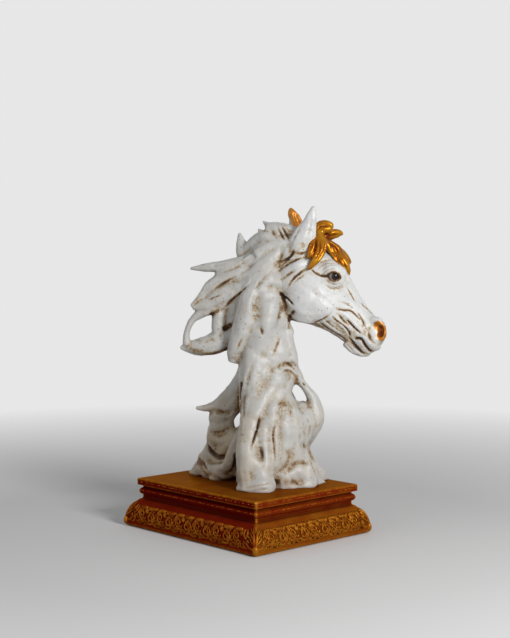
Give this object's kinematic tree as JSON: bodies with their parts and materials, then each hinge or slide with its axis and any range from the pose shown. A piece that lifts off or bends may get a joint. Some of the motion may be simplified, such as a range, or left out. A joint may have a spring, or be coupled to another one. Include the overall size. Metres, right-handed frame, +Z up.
{
  "type": "book end",
  "caption": "Weighted book end: a horse's head and wind-blown mane rising from drapery scrolls on a stepped, carved rectangular plinth with a felt underside.",
  "frame": {"origin": "middle of the felt's underside, where the book end stands on the shelf", "axes": "+Z up, X along the plinth's long side, Y along its short side; the horse looks between +X and +Y"},
  "size_m": [0.2112, 0.1912, 0.3324],
  "materials": {
    "gilt_resin": "cast resin, red-brown lacquer rubbed with gold",
    "white_resin": "cast resin, glossy white with a brown wash in the hollows",
    "gold_resin": "cast resin, gold paint with a brown wash",
    "eye_glass": "glossy black",
    "iron": "as cast",
    "steel": "zinc plated",
    "brass": "plain",
    "hardboard": "hardboard",
    "felt": "felt"
  },
  "bodies": {
    "root": {"plinth_casting": "gilt_resin", "ballast_weight": "iron", "tie_bolts": "steel", "bolt_washers": "steel", "bust_inserts": "brass", "base_board": "hardboard", "board_screws": "steel", "felt_pad": "felt", "neck_casting": "white_resin", "head_casting": "white_resin", "mane_casting": "white_resin", "forelock_casting": "gold_resin", "near_eye": "eye_glass", "far_eye": "eye_glass", "head_pegs": "steel", "mane_pegs": "steel"}
  },
  "joints": []
}
